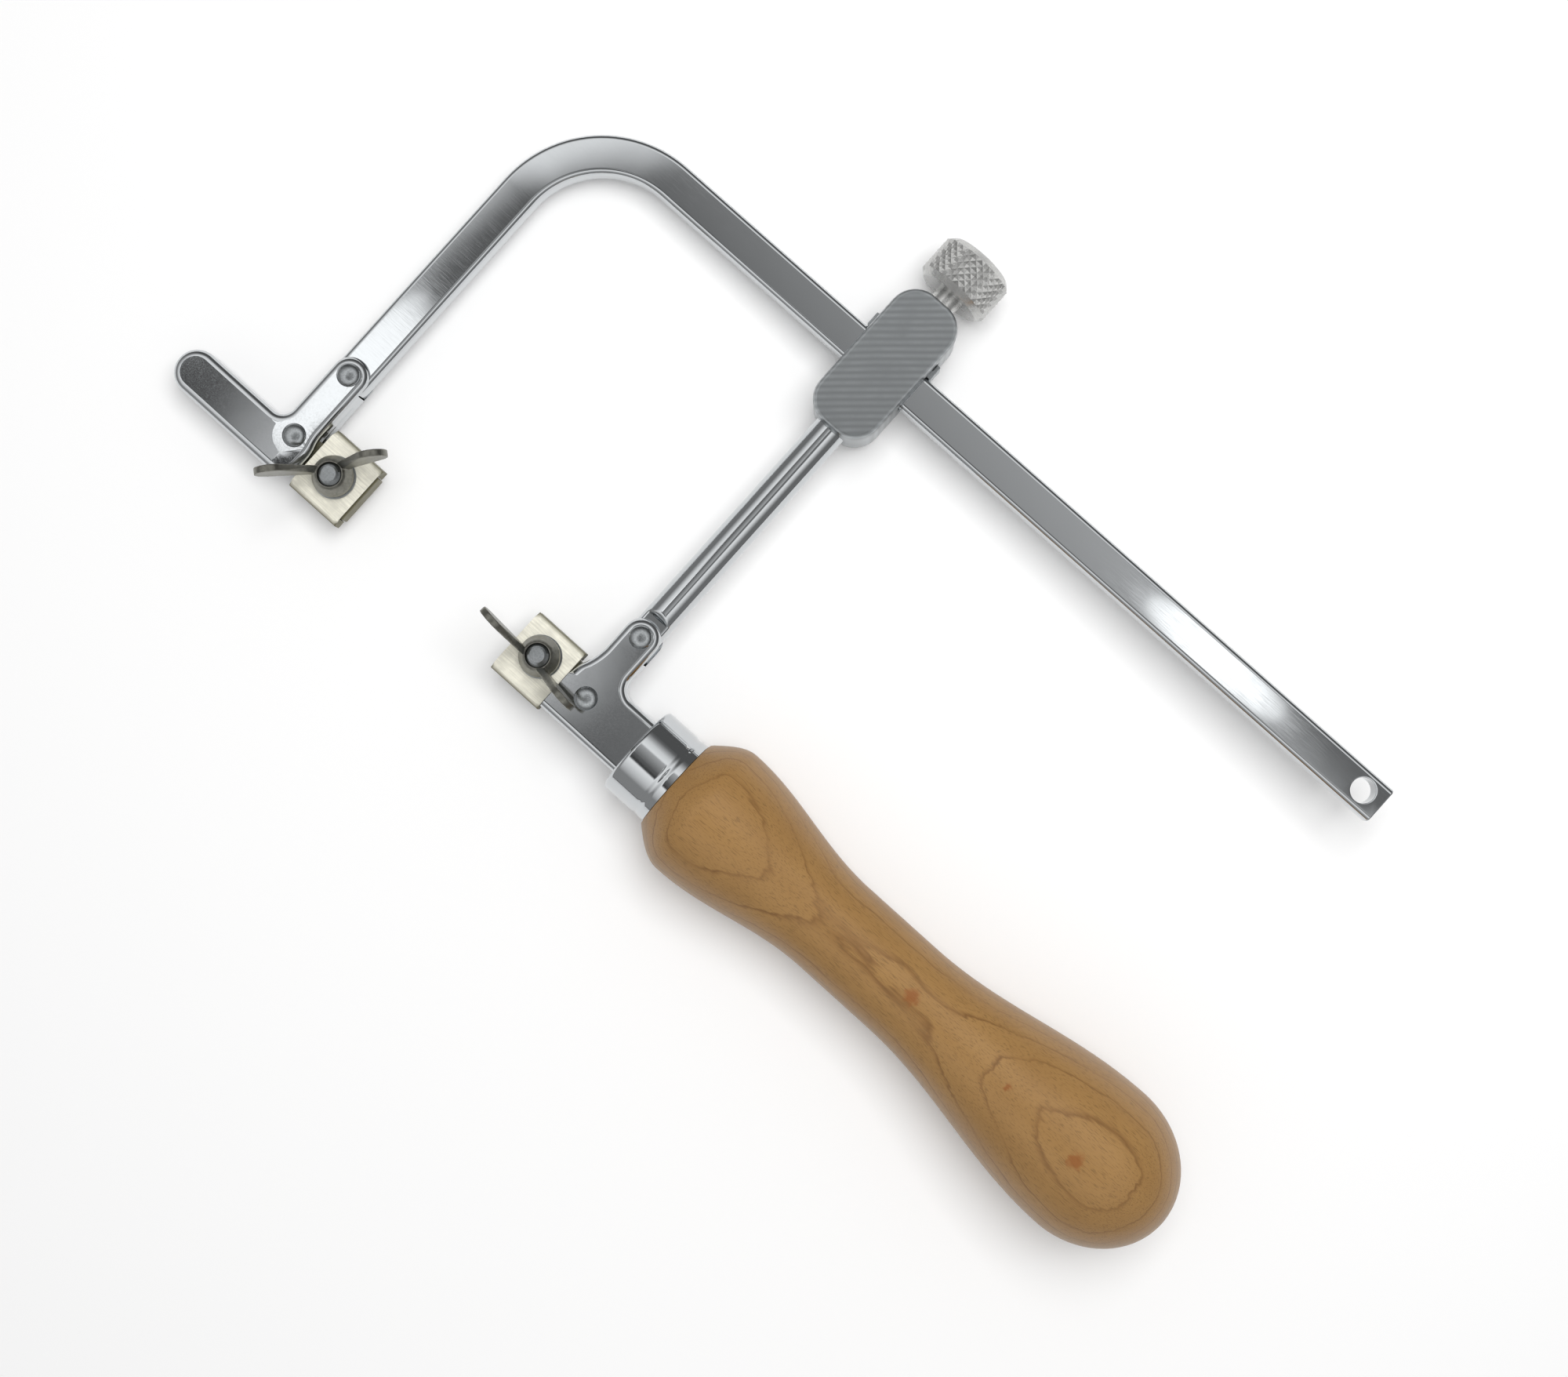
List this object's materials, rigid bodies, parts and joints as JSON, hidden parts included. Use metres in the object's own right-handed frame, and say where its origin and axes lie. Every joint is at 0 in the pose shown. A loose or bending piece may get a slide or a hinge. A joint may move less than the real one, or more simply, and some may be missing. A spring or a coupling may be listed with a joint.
{
  "type": "fret saw frame",
  "caption": "Adjustable fret saw frame: turned beech handle, sliding chromed bow with knurled thumb screw, tension lever and wing-nut blade clamps.",
  "frame": {"origin": "on the handle's axis, where the wood begins behind the ferrule", "axes": "+X along the handle towards its butt, which is the blade line; +Y across the throat to the back of the bow; +Z square to the flat of the frame, on the wing nuts' side"},
  "size_m": [0.2244, 0.1167, 0.0286],
  "materials": {
    "beech": "varnished",
    "chrome_tube": "polished chrome plate",
    "chrome_bar": "polished chrome plate",
    "chrome_pressing": "chrome plate",
    "rivet_steel": "plated",
    "milled_steel": "satin, milled lines",
    "knurled_steel": "matt, knurled",
    "nickel_plate": "nickel plate",
    "wing_steel": "nickel plate",
    "plain_steel": "plain"
  },
  "bodies": {
    "body": {"handle": "beech", "ferrule": "chrome_tube", "bracket_front_shell": "chrome_pressing", "bracket_back_shell": "chrome_pressing", "rod_rivet": "rivet_steel", "lower_clamp_rivet": "rivet_steel", "post_rod": "chrome_tube", "slider_block": "milled_steel", "lower_jaw_bar": "nickel_plate", "lower_stud": "plain_steel"},
    "bow": {"bow_bar": "chrome_bar"},
    "lever": {"lever_front_shell": "chrome_pressing", "lever_back_shell": "chrome_pressing", "lever_pivot_rivet": "rivet_steel", "upper_clamp_rivet": "rivet_steel", "upper_jaw_bar": "nickel_plate", "upper_stud": "plain_steel"},
    "upper_jaw": {"upper_jaw_plate": "nickel_plate", "upper_washer": "plain_steel"},
    "upper_nut": {"upper_wing_nut": "wing_steel"},
    "lower_jaw": {"lower_jaw_plate": "nickel_plate", "lower_washer": "plain_steel"},
    "lower_nut": {"lower_wing_nut": "wing_steel"},
    "shoe": {"pressure_shoe": "plain_steel"},
    "screw": {"thumb_screw": "knurled_steel"}
  },
  "joints": [
    {"name": "bow_slide", "type": "slide", "parent": "body", "child": "bow", "axis": [1, 0, 0], "range_m": [-0.095, 0.015]},
    {"name": "lever_swing", "type": "hinge", "parent": "bow", "child": "lever", "pos_m": [-0.0892, 0.0148, 0], "axis": [0, 0, 1], "range_deg": [0, 15], "stiffness_Nm_per_rad": 0.3, "springref_deg": -9.74},
    {"name": "upper_jaw_lift", "type": "slide", "parent": "lever", "child": "upper_jaw", "axis": [0, 0, 1], "range_m": [0, 0.0014]},
    {"name": "upper_nut_turn", "type": "hinge", "parent": "upper_jaw", "child": "upper_nut", "pos_m": [-0.07945, 0, 0], "axis": [0, 0, 1], "range_deg": [0, 721]},
    {"name": "lower_jaw_lift", "type": "slide", "parent": "body", "child": "lower_jaw", "axis": [0, 0, 1], "range_m": [0, 0.0014]},
    {"name": "lower_nut_turn", "type": "hinge", "parent": "lower_jaw", "child": "lower_nut", "pos_m": [-0.032, 0.0008, 0], "axis": [0, 0, 1], "range_deg": [0, 721]},
    {"name": "shoe_lift", "type": "slide", "parent": "body", "child": "shoe", "axis": [0, 1, 0], "range_m": [0, 0.0016]},
    {"name": "thumb_screw_turn", "type": "hinge", "parent": "shoe", "child": "screw", "pos_m": [-0.0212, 0.095, 0], "axis": [0, 1, 0], "range_deg": [0, 721]}
  ],
  "couplings": [
    {"joint": "upper_nut_turn", "follows": "upper_jaw_lift", "rad_per_m": 8976},
    {"joint": "lower_nut_turn", "follows": "lower_jaw_lift", "rad_per_m": 8976},
    {"joint": "thumb_screw_turn", "follows": "shoe_lift", "rad_per_m": 7854}
  ]
}
